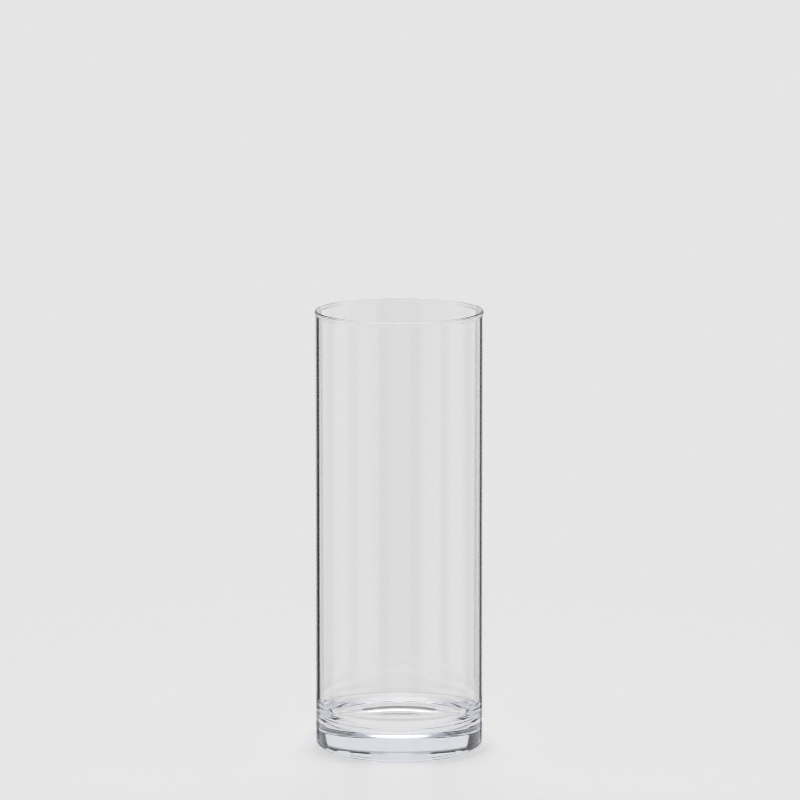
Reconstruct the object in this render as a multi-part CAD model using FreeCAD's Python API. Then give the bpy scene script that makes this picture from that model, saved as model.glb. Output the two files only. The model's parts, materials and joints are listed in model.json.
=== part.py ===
"""Clear glass cylinder vase with a heavy base, as one blown piece of glass.

Millimetres. The origin is on the axis in the plane that the vase stands on, and +Z is up.
The glass is one meridian outline turned once round the axis. The outline runs out along the
underside, up the outside, over the fire-polished rim, down the bore and in over the floor.
"""

import math
import os

import FreeCAD
import Part

# Driving dimensions
HEIGHT = 250.0  # standing plane to the crest of the rim
OUTER_DIAMETER = 95.0  # outside, just above the foot
UNDER_RIM_DIAMETER = 94.0  # outside, just under the rim, where the wall is thinner
WALL = 2.0  # glass thickness just above the foot
BASE_THICKNESS = 14.0  # standing plane to the edge of the inside floor
FLOOR_DIAMETER = 72.0  # the nearly flat part of the inside floor
FLOOR_RISE = 0.3  # height of the gentle dome in the middle of the inside floor
CORNER_HEIGHT = 14.0  # how far the inside corner sweeps up the wall
FOOT_RADIUS = 2.5  # rounding of the outside bottom edge
PUNT_DIAMETER = 76.0  # hollow pressed into the underside
PUNT_DEPTH = 1.2
BEAD_OVERHANG = 0.5  # how far the rim's bead stands out from the wall under it
BEAD_DROP = 1.4  # widest ring of the bead to where the bead meets the wall

# Worked out from the driving dimensions
AXIS_UP = FreeCAD.Vector(0, 0, 1)
OUTER_RADIUS = OUTER_DIAMETER / 2
BORE_RADIUS = OUTER_RADIUS - WALL
UNDER_RIM_RADIUS = UNDER_RIM_DIAMETER / 2
BEAD_RADIUS = UNDER_RIM_RADIUS + BEAD_OVERHANG
CREST_ROUND = (BEAD_RADIUS - BORE_RADIUS) / 2
BEAD_HEIGHT = HEIGHT - CREST_ROUND
FLOOR_RADIUS = FLOOR_DIAMETER / 2
CORNER_TOP = BASE_THICKNESS + CORNER_HEIGHT
RING_RADIUS = OUTER_RADIUS - FOOT_RADIUS
PUNT_RADIUS = PUNT_DIAMETER / 2
FULL_TURN = 360.0


def at(radius, height):
    """A point of the meridian outline, which lies in the XZ plane."""
    return FreeCAD.Vector(radius, 0, height)


def line(start, end):
    """A straight edge of the outline."""
    return Part.LineSegment(start, end).toShape()


def round_edge(centre, radius, from_angle, to_angle):
    """A round edge of the outline, by its centre, radius and end angles in degrees."""
    angles = [math.radians(a) for a in (from_angle, (from_angle + to_angle) / 2, to_angle)]
    points = [at(centre.x + radius * math.cos(a), centre.z + radius * math.sin(a)) for a in angles]
    return Part.Arc(*points).toShape()


def shallow_dome(edge_radius, edge_height, rise):
    """The round edge from a ring in to the axis, where it stands rise above the ring."""
    sphere = (edge_radius**2 + rise**2) / (2 * rise)
    centre = at(0, edge_height + rise - sphere)
    lean = math.degrees(math.asin(edge_radius / sphere))
    return round_edge(centre, sphere, 90 - lean, 90)


def inside_corner():
    """The quarter ellipse that sweeps the inside floor up into the bore."""
    centre = at(FLOOR_RADIUS, CORNER_TOP)
    foot = at(FLOOR_RADIUS, BASE_THICKNESS)
    side = at(BORE_RADIUS, CORNER_TOP)
    ellipse = Part.Ellipse(foot, side, centre)
    return Part.ArcOfEllipse(ellipse, 0, math.pi / 2).toShape()


def bead():
    """The swelling under the rim, as one arc from the wall out to the bead's widest ring."""
    swell = (BEAD_OVERHANG**2 + BEAD_DROP**2) / (2 * BEAD_OVERHANG)
    centre = at(BEAD_RADIUS - swell, BEAD_HEIGHT)
    lean = math.degrees(math.asin(BEAD_DROP / swell))
    return round_edge(centre, swell, -lean, 0)


def outline():
    """The meridian edges in order, from the axis under the vase to the axis on its floor."""
    crest = round_edge(at(BORE_RADIUS + CREST_ROUND, BEAD_HEIGHT), CREST_ROUND, 0, 180)
    foot = round_edge(at(RING_RADIUS, FOOT_RADIUS), FOOT_RADIUS, -90, 0)
    return [
        shallow_dome(PUNT_RADIUS, 0, PUNT_DEPTH),
        line(at(PUNT_RADIUS, 0), at(RING_RADIUS, 0)),
        foot,
        line(at(OUTER_RADIUS, FOOT_RADIUS), at(UNDER_RIM_RADIUS, BEAD_HEIGHT - BEAD_DROP)),
        bead(),
        crest,
        line(at(BORE_RADIUS, BEAD_HEIGHT), at(BORE_RADIUS, CORNER_TOP)),
        inside_corner(),
        shallow_dome(FLOOR_RADIUS, BASE_THICKNESS, FLOOR_RISE),
        line(at(0, BASE_THICKNESS + FLOOR_RISE), at(0, PUNT_DEPTH)),
    ]


def glass_vessel():
    """The whole vase as one closed solid."""
    half_section = Part.Face(Part.Wire(Part.__sortEdges__(outline())))
    turned = half_section.revolve(at(0, 0), AXIS_UP, FULL_TURN)
    return Part.Solid(turned.Shells[0])


def main():
    """Builds the vase, exports it and prints its sizes."""
    os.makedirs("parts", exist_ok=True)
    vessel = glass_vessel()
    vessel.exportStep("parts/glass_vessel.step")
    print(f"glass_vessel valid {vessel.isValid()} volume {vessel.Volume:.0f} mm3")


main()
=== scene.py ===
"""A clear glass cylinder vase on a pale table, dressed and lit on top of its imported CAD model.

Metres, in the CAD's own frame: the origin is on the axis in the plane that the vase stands on.
"""

import json
import logging
import math
from dataclasses import dataclass, field
from enum import Enum

import bmesh
import bpy
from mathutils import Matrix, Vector


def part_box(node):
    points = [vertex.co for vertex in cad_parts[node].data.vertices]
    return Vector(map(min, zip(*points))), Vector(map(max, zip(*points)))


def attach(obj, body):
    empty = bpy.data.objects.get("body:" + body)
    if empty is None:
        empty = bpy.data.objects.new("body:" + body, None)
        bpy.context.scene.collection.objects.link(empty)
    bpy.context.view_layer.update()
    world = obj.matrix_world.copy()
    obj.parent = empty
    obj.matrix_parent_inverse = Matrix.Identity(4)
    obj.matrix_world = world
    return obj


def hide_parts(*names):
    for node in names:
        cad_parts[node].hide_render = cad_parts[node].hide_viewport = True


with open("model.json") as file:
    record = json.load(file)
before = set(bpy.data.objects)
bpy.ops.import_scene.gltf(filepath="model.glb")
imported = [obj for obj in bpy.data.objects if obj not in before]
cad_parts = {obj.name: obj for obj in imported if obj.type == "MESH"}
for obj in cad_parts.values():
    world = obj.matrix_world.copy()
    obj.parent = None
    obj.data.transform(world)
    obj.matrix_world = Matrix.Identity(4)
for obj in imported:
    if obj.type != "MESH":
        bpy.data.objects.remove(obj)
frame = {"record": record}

Point = tuple[float, float]
Level = float | bpy.types.NodeSocket

MM = 0.001
NODE = "glass_vessel"
SLOT = "clear_glass"

log = logging.getLogger("vase")


class Sum(Enum):
    """The sums that the shader trees use."""

    ADD = "ADD"
    TAKE = "SUBTRACT"
    TIMES = "MULTIPLY"
    UNSIGNED = "ABSOLUTE"
    HEADING = "ARCTAN2"
    RISE = "ARCSINE"


class Seen(Enum):
    """The kinds of ray that may see a stage piece."""

    CAMERA = "visible_camera"
    DIFFUSE = "visible_diffuse"
    GLOSSY = "visible_glossy"
    THROUGH_GLASS = "visible_transmission"
    SHADOW = "visible_shadow"


@dataclass
class NodeBench:
    """A shader tree being wired up."""

    tree: bpy.types.NodeTree

    def add(self, kind: str) -> bpy.types.Node:
        """A new node of the given kind."""
        return self.tree.nodes.new(kind)

    def feed(self, source: Level, socket: bpy.types.NodeSocket) -> None:
        """Sets a socket to a number, or links another node's output to it."""
        if isinstance(source, (int, float)):
            socket.default_value = source
        else:
            self.tree.links.new(source, socket)

    def sum(self, kind: Sum, first: Level, second: Level = 0.0) -> bpy.types.NodeSocket:
        """Works out one sum.

        Args:
            kind: which sum.
            first: its first number.
            second: its second number, where it has one.

        Returns:
            The socket that carries the answer.
        """
        node = self.add("ShaderNodeMath")
        node.operation = kind.value
        self.feed(first, node.inputs[0])
        self.feed(second, node.inputs[1])
        return node.outputs[0]

    def step(self, value: Level, start: float, end: float) -> bpy.types.NodeSocket:
        """Rises softly from 0 to 1.

        Args:
            value: the number that drives the rise.
            start: where the rise starts.
            end: where it is complete.

        Returns:
            The socket that carries the answer.
        """
        node = self.add("ShaderNodeMapRange")
        node.interpolation_type = "SMOOTHSTEP"
        self.feed(value, node.inputs["Value"])
        node.inputs["From Min"].default_value = start
        node.inputs["From Max"].default_value = end
        return node.outputs["Result"]

    def band(self, value: Level, low: float, high: float, soft: float) -> bpy.types.NodeSocket:
        """Is 1 between two numbers and 0 outside them.

        Args:
            value: the number that is tested.
            low: the band's lower edge.
            high: its upper edge.
            soft: how wide each edge's fade is.

        Returns:
            The socket that carries the answer.
        """
        rise = self.step(value, low - soft / 2, low + soft / 2)
        fall = self.step(value, high - soft / 2, high + soft / 2)
        return self.sum(Sum.TIMES, rise, self.sum(Sum.TAKE, 1.0, fall))

    def blend(self, share: Level, first: Level, second: Level) -> bpy.types.NodeSocket:
        """Goes from the first number to the second as share goes from 0 to 1."""
        rest = self.sum(Sum.TIMES, first, self.sum(Sum.TAKE, 1.0, share))
        return self.sum(Sum.ADD, rest, self.sum(Sum.TIMES, second, share))


@dataclass(frozen=True)
class ClearGlass:
    """Polished soda-lime glass, with the faint cool cast that shows only where it is thick."""

    bend: float = 1.52
    cast: tuple[float, float, float, float] = (0.84, 0.865, 0.98, 1.0)
    depth: float = 5.0

    def make(self) -> bpy.types.Material:
        """Makes the material.

        Returns:
            The glass, with its cast as a volume.
        """
        material = bpy.data.materials.new(SLOT)
        material.use_nodes = True
        bench = NodeBench(material.node_tree)
        shader = material.node_tree.nodes["Principled BSDF"]
        output = material.node_tree.nodes["Material Output"]
        shader.inputs["Base Color"].default_value = (1.0, 1.0, 1.0, 1.0)
        shader.inputs["Transmission Weight"].default_value = 1.0
        shader.inputs["Roughness"].default_value = 0.0
        shader.inputs["IOR"].default_value = self.bend
        cast = bench.add("ShaderNodeVolumeAbsorption")
        cast.inputs["Color"].default_value = self.cast
        cast.inputs["Density"].default_value = self.depth
        bench.feed(cast.outputs["Volume"], output.inputs["Volume"])
        return material


@dataclass(frozen=True)
class PaleTop:
    """The satin white table, and the evenly lit patch of it under the vase."""

    white: float = 0.94
    satin: float = 0.45
    gloss: float = 0.1
    backdrop: float = 0.783
    fade_from: float = 0.16
    fade_to: float = 0.42
    pad: float = 0.74

    def make(self, name: str, fades: bool) -> bpy.types.Material:
        """Makes the material.

        Args:
            name: the material's name.
            fades: whether it is the top, which turns into the backdrop away from the vase. If
                not, it is the patch, which gives off its own even light.

        Returns:
            The table's material.
        """
        material = bpy.data.materials.new(name)
        material.use_nodes = True
        shader = material.node_tree.nodes["Principled BSDF"]
        shader.inputs["Roughness"].default_value = self.satin
        if fades:
            shader.inputs["Base Color"].default_value = (self.white, self.white, self.white, 1.0)
            shader.inputs["Specular IOR Level"].default_value = self.gloss
            self.add_fade(NodeBench(material.node_tree), shader)
        else:
            shader.inputs["Base Color"].default_value = (0.0, 0.0, 0.0, 1.0)
            shader.inputs["Specular IOR Level"].default_value = 0.0
            shader.inputs["Emission Color"].default_value = (self.pad, self.pad, self.pad, 1.0)
            shader.inputs["Emission Strength"].default_value = 1.0
        return material

    def add_fade(self, bench: NodeBench, shader: bpy.types.Node) -> None:
        """Turns the table into the backdrop with distance from the vase.

        Args:
            bench: the table's tree.
            shader: the table's shader node.
        """
        place = bench.add("ShaderNodeTexCoord")
        reach = bench.add("ShaderNodeVectorMath")
        reach.operation = "LENGTH"
        bench.feed(place.outputs["Object"], reach.inputs[0])
        glow = bench.add("ShaderNodeEmission")
        glow.inputs["Color"].default_value = (self.backdrop, self.backdrop, self.backdrop, 1.0)
        mix = bench.add("ShaderNodeMixShader")
        share = bench.step(reach.outputs["Value"], self.fade_from, self.fade_to)
        bench.feed(share, mix.inputs["Fac"])
        bench.feed(shader.outputs["BSDF"], mix.inputs[1])
        bench.feed(glow.outputs["Emission"], mix.inputs[2])
        bench.feed(mix.outputs["Shader"], bench.tree.nodes["Material Output"].inputs["Surface"])


@dataclass(frozen=True)
class Rows:
    """How many points each stretch of the outline has, which sets how fine the mesh is."""

    punt: int = 16
    ring: int = 3
    foot: int = 15
    wall: int = 24
    bead: int = 8
    crest: int = 23
    corner: int = 44
    floor: int = 10


@dataclass
class GlassVessel:
    """The vase, turned as one fine mesh from the same outline as its CAD solid."""

    height: float
    bore_radius: float
    corner_top: float
    wall: float = 2.0 * MM
    thinning: float = 0.5 * MM
    base_thickness: float = 14.0 * MM
    floor_radius: float = 36.0 * MM
    floor_rise: float = 0.3 * MM
    foot_round: float = 2.5 * MM
    punt_radius: float = 38.0 * MM
    punt_depth: float = 1.2 * MM
    bead_overhang: float = 0.5 * MM
    bead_drop: float = 1.4 * MM
    sides: int = 512
    rows: Rows = field(default_factory=Rows)
    finish: ClearGlass = field(default_factory=ClearGlass)

    @classmethod
    def from_frame(cls) -> "GlassVessel":
        """Takes the vase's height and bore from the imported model.

        Returns:
            The vase, with those sizes filled in.
        """
        _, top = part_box(NODE)
        mouth = next(m for m in frame["record"]["mounts"] if m["name"] == "mouth")
        bore_radius = mouth["dims"]["r_mm"] * MM
        crest_round = (cls.wall - cls.thinning + cls.bead_overhang) / 2
        corner_top = top.z - crest_round - mouth["dims"]["length_mm"] * MM
        return cls(height=top.z, bore_radius=bore_radius, corner_top=corner_top)

    def round_run(self, centre: Point, radii: Point, turn: Point, steps: int) -> list[Point]:
        """Lays points round part of a circle or an ellipse.

        Args:
            centre: its centre, as radius and height.
            radii: its half widths along the radius and the height.
            turn: the start and end angles in degrees.
            steps: how many points to lay, with the ends.

        Returns:
            The points, in order.
        """
        angles = [math.radians(turn[0] + (turn[1] - turn[0]) * k / (steps - 1)) for k in range(steps)]
        return [
            (centre[0] + radii[0] * math.cos(a), centre[1] + radii[1] * math.sin(a)) for a in angles
        ]

    def dome_run(self, edge: Point, rise: float, steps: int) -> list[Point]:
        """Lays points from a ring in to the axis, where they stand rise above the ring."""
        sphere = (edge[0] ** 2 + rise**2) / (2 * rise)
        lean = math.degrees(math.asin(edge[0] / sphere))
        centre = (0.0, edge[1] + rise - sphere)
        run = self.round_run(centre, (sphere, sphere), (90 - lean, 90), steps)
        return run[:-1] + [(0.0, edge[1] + rise)]

    def straight_run(self, start: Point, end: Point, steps: int) -> list[Point]:
        """Lays points along a straight line, closest together near its ends, which are left out."""
        shares = [(1 - math.cos(math.pi * k / (steps + 1))) / 2 for k in range(1, steps + 1)]
        return [
            (start[0] + (end[0] - start[0]) * s, start[1] + (end[1] - start[1]) * s) for s in shares
        ]

    def outline(self) -> list[Point]:
        """Lays the whole outline, from the axis under the vase to the axis on its floor.

        Returns:
            The points, as radius and height.
        """
        outer = self.bore_radius + self.wall
        under_rim = outer - self.thinning
        widest = under_rim + self.bead_overhang
        crest_round = (widest - self.bore_radius) / 2
        bead_height = self.height - crest_round
        neck = bead_height - self.bead_drop
        swell = (self.bead_overhang**2 + self.bead_drop**2) / (2 * self.bead_overhang)
        lean = math.degrees(math.asin(self.bead_drop / swell))
        ring = outer - self.foot_round
        reach = self.bore_radius - self.floor_radius
        sweep = self.corner_top - self.base_thickness
        rows = self.rows
        punt = self.dome_run((self.punt_radius, 0.0), self.punt_depth, rows.punt)
        foot = self.round_run((ring, self.foot_round), (self.foot_round,) * 2, (-90, 0), rows.foot)
        bead = self.round_run((widest - swell, bead_height), (swell,) * 2, (-lean, 0), rows.bead)
        middle = (widest - crest_round, bead_height)
        crest = self.round_run(middle, (crest_round,) * 2, (0, 180), rows.crest)
        edge = (self.floor_radius, self.corner_top)
        corner = self.round_run(edge, (reach, sweep), (0, -90), rows.corner)
        floor = self.dome_run((self.floor_radius, self.base_thickness), self.floor_rise, rows.floor)
        bore_top = (self.bore_radius, bead_height)
        bore_end = (self.bore_radius, self.corner_top)
        return [
            *reversed(punt),
            *self.straight_run((self.punt_radius, 0.0), (ring, 0.0), rows.ring),
            *foot,
            *self.straight_run((outer, self.foot_round), (under_rim, neck), rows.wall),
            *bead,
            *crest[1:],
            *self.straight_run(bore_top, bore_end, rows.wall),
            *corner,
            *floor[1:],
        ]

    def turn(self, outline: list[Point]) -> bpy.types.Mesh:
        """Turns an outline once round the axis.

        Args:
            outline: points as radius and height, which start and end on the axis.

        Returns:
            The closed mesh.
        """
        mesh = bmesh.new()
        turns = [math.tau * k / self.sides for k in range(self.sides)]
        headings = [(math.cos(a), math.sin(a)) for a in turns]
        first = mesh.verts.new((0.0, 0.0, outline[0][1]))
        last = mesh.verts.new((0.0, 0.0, outline[-1][1]))
        rings = [
            [mesh.verts.new((radius * c, radius * s, height)) for c, s in headings]
            for radius, height in outline[1:-1]
        ]
        for k in range(self.sides):
            after = (k + 1) % self.sides
            mesh.faces.new((first, rings[0][after], rings[0][k]))
            mesh.faces.new((last, rings[-1][k], rings[-1][after]))
            for low, high in zip(rings, rings[1:]):
                mesh.faces.new((low[k], low[after], high[after], high[k]))
        bmesh.ops.recalc_face_normals(mesh, faces=mesh.faces)
        made = bpy.data.meshes.new(f"{NODE}_fine")
        mesh.to_mesh(made)
        mesh.free()
        made.shade_smooth()
        return made

    def build(self) -> bpy.types.Object:
        """Builds and dresses the vase, and lets it stand for its CAD solid.

        Returns:
            The vase.
        """
        vase = bpy.data.objects.new(f"{NODE}_fine", self.turn(self.outline()))
        bpy.context.scene.collection.objects.link(vase)
        vase.data.materials.append(self.finish.make())
        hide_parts(NODE)
        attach(vase, "root")
        return vase


@dataclass
class Table:
    """The pale table: the wide top, and the patch of it that shows through the glass."""

    reach: float = 6.0
    patch_radius: float = 65.0 * MM
    clearance: float = 0.05 * MM
    sides: int = 128
    finish: PaleTop = field(default_factory=PaleTop)

    def disc(self, name: str, radius: float, fades: bool, hidden: tuple[Seen, ...]) -> bpy.types.Object:
        """Lays one round sheet under the vase.

        Args:
            name: the sheet's name.
            radius: its radius.
            fades: whether it turns into the backdrop away from the vase.
            hidden: the kinds of ray that don't see it.

        Returns:
            The sheet.
        """
        mesh = bmesh.new()
        bmesh.ops.create_circle(mesh, cap_ends=True, segments=self.sides, radius=radius)
        made = bpy.data.meshes.new(name)
        mesh.to_mesh(made)
        mesh.free()
        sheet = bpy.data.objects.new(name, made)
        sheet.location.z = -self.clearance
        bpy.context.scene.collection.objects.link(sheet)
        made.materials.append(self.finish.make(name, fades))
        for kind in hidden:
            setattr(sheet, kind.value, False)
        return sheet

    def build(self) -> list[bpy.types.Object]:
        """Lays the table.

        Returns:
            Its sheets.
        """
        only_through_glass = tuple(kind for kind in Seen if kind is not Seen.THROUGH_GLASS)
        return [
            self.disc("table_top", self.reach, True, (Seen.THROUGH_GLASS, Seen.GLOSSY)),
            self.disc("table_patch", self.patch_radius, False, only_through_glass),
        ]


@dataclass(frozen=True)
class Panel:
    """One part of the room, as seen from the vase: a range of headings and of heights."""

    level: float
    heading: Point = (-200.0, 200.0)
    height: Point = (-100.0, 100.0)
    soft: float = 4.0


@dataclass
class StudioRoom:
    """Soft light from all round, with darker gaps that draw the glass's edges.

    Headings are in degrees to the right of straight behind the vase, and heights are in
    degrees above its foot. Later panels stand in front of earlier ones. The paired panels
    stand at the same heading on both sides.
    """

    backdrop: float = 0.783
    hall: float = 0.68
    panels: tuple[Panel, ...] = (
        Panel(0.78, height=(-110.0, 0.0), soft=16.0),
        Panel(1.00, height=(54.0, 100.0)),
        Panel(2.40, height=(66.0, 100.0)),
        Panel(0.04, heading=(-80.0, 80.0), height=(-2.0, 42.0), soft=6.0),
        Panel(0.76, heading=(-46.0, 52.0), height=(-1.0, 20.5), soft=3.0),
        Panel(1.00, heading=(-20.0, 20.0), height=(24.0, 54.0), soft=5.0),
        Panel(0.03, heading=(-34.0, 28.0), height=(-34.0, -1.0), soft=2.0),
        Panel(0.58, heading=(-16.5, 15.0), height=(-34.0, 1.0), soft=3.0),
        Panel(0.75, heading=(-7.0, 7.0), height=(-34.0, 3.0), soft=7.0),
        Panel(0.71, heading=(-0.8, 0.8), height=(-34.0, 3.0), soft=1.4),
    )
    paired: tuple[Panel, ...] = (
        Panel(0.03, heading=(105.0, 200.0), height=(33.0, 55.0)),
        Panel(0.55, heading=(60.0, 75.0), height=(-34.0, -1.0), soft=9.0),
        Panel(0.55, heading=(105.0, 120.0), height=(-34.0, -1.0), soft=9.0),
        Panel(0.55, heading=(150.0, 165.0), height=(-34.0, -1.0), soft=9.0),
    )

    def build(self) -> bpy.types.World:
        """Makes the world.

        Returns:
            The world, which the camera sees as a plain backdrop.
        """
        world = bpy.data.worlds.new("studio_room")
        world.use_nodes = True
        world.node_tree.nodes.clear()
        bench = NodeBench(world.node_tree)
        plain = bench.add("ShaderNodeBackground")
        plain.inputs["Color"].default_value = (self.backdrop, self.backdrop, self.backdrop, 1.0)
        lit = bench.add("ShaderNodeBackground")
        bench.feed(self.light(bench), lit.inputs["Color"])
        ray = bench.add("ShaderNodeLightPath")
        mix = bench.add("ShaderNodeMixShader")
        output = bench.add("ShaderNodeOutputWorld")
        bench.feed(ray.outputs["Is Camera Ray"], mix.inputs["Fac"])
        bench.feed(lit.outputs["Background"], mix.inputs[1])
        bench.feed(plain.outputs["Background"], mix.inputs[2])
        bench.feed(mix.outputs["Shader"], output.inputs["Surface"])
        bpy.context.scene.world = world
        return world

    def light(self, bench: NodeBench) -> bpy.types.NodeSocket:
        """Works out how bright the room is in a direction.

        Args:
            bench: the world's tree.

        Returns:
            The socket that carries the brightness.
        """
        place = bench.add("ShaderNodeTexCoord")
        split = bench.add("ShaderNodeSeparateXYZ")
        bench.feed(place.outputs["Generated"], split.inputs["Vector"])
        across, along, up = split.outputs
        degree = 180.0 / math.pi
        heading = bench.sum(Sum.TIMES, bench.sum(Sum.HEADING, across, along), degree)
        height = bench.sum(Sum.TIMES, bench.sum(Sum.RISE, up), degree)
        level: Level = self.hall
        either_side = bench.sum(Sum.UNSIGNED, heading)
        for way, panels in ((heading, self.panels), (either_side, self.paired)):
            for panel in panels:
                beside = bench.band(way, *panel.heading, panel.soft)
                above = bench.band(height, *panel.height, panel.soft)
                level = bench.blend(bench.sum(Sum.TIMES, beside, above), level, panel.level)
        return level


@dataclass
class StudioCamera:
    """The camera, some way off and a little above the rim, with a long lens."""

    distance: float = 2.207
    height: float = 0.594
    aside: float = 0.5 * MM
    look_down: float = 10.159
    lens: float = 178.9
    film: float = 36.0
    far_end: float = 100.0

    def build(self) -> bpy.types.Object:
        """Sets the camera up and makes it the scene's own.

        Returns:
            The camera.
        """
        data = bpy.data.cameras.new("studio_camera")
        data.lens = self.lens
        data.sensor_width = self.film
        data.clip_end = self.far_end
        camera = bpy.data.objects.new("studio_camera", data)
        bpy.context.scene.collection.objects.link(camera)
        down = math.radians(self.look_down)
        sight = Vector((0.0, math.cos(down), -math.sin(down)))
        camera.location = (self.aside, -self.distance, self.height)
        camera.rotation_mode = "QUATERNION"
        camera.rotation_quaternion = sight.to_track_quat("-Z", "Y")
        bpy.context.scene.camera = camera
        return camera


def set_light_paths() -> None:
    """Lets light through as many glass surfaces as the heavy base has, without a colour cast."""
    scene = bpy.context.scene
    scene.cycles.max_bounces = 32
    scene.cycles.transmission_bounces = 32
    scene.cycles.glossy_bounces = 24
    scene.cycles.transparent_max_bounces = 16
    scene.cycles.blur_glossy = 0.0
    scene.cycles.sample_clamp_indirect = 0.0
    scene.cycles.use_denoising = True
    scene.cycles.filter_width = 1.2
    scene.view_settings.view_transform = "Standard"


def main() -> None:
    """Builds the camera, the room, the table and the vase, in that order."""
    logging.basicConfig(level=logging.INFO, format="%(message)s")
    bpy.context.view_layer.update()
    camera = StudioCamera().build()
    log.info("camera: %.0f mm lens, %.2f m off", camera.data.lens, camera.location.length)
    room = StudioRoom().build()
    log.info("room: %d nodes", len(room.node_tree.nodes))
    for sheet in Table().build():
        log.info("%s: %.2f m across", sheet.name, sheet.dimensions.x)
    vase = GlassVessel.from_frame().build()
    log.info("%s: %d faces", vase.name, len(vase.data.polygons))
    set_light_paths()


if __name__ == "__main__":
    main()
